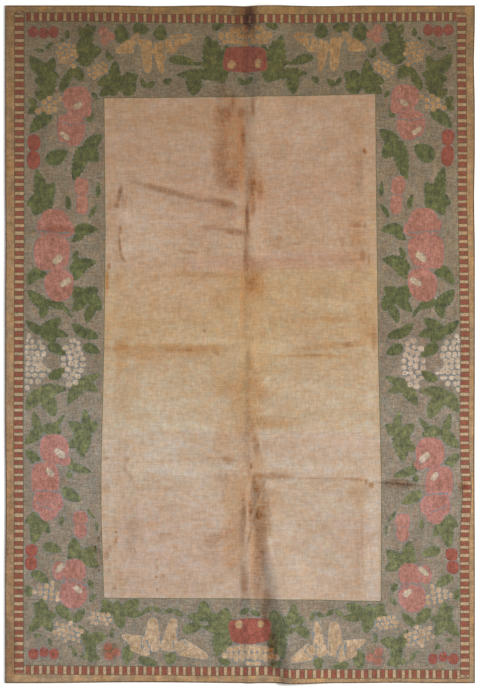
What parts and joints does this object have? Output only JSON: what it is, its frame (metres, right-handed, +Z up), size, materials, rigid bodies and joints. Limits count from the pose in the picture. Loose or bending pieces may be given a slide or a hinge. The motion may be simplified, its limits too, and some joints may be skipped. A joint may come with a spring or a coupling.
{
  "type": "hand-knotted wool pile rug",
  "caption": "Room-size flat wool pile rug: plain tan field, wide fruit-and-leaf border between guard stripes, cord-whipped edges, and pleats and cross creases left by folding.",
  "frame": {"origin": "on the floor, at the middle of the rug's bounding box", "axes": "+X across the rug to its right side in the picture, +Y along the rug to its head (the picture's top), +Z up from the floor, out of the pile"},
  "size_m": [2.745, 3.96, 0.0369],
  "materials": {
    "wool_pile": "matte, low cut pile, abrashed tan with a muted fruit-and-leaf border",
    "edge_whipping": "matte brown wool yarn wound round the edge warps"
  },
  "bodies": {
    "root": {"pile_cloth": "wool_pile", "side_whipping_left": "edge_whipping", "side_whipping_right": "edge_whipping", "end_whipping_head": "edge_whipping", "end_whipping_foot": "edge_whipping"}
  },
  "joints": []
}
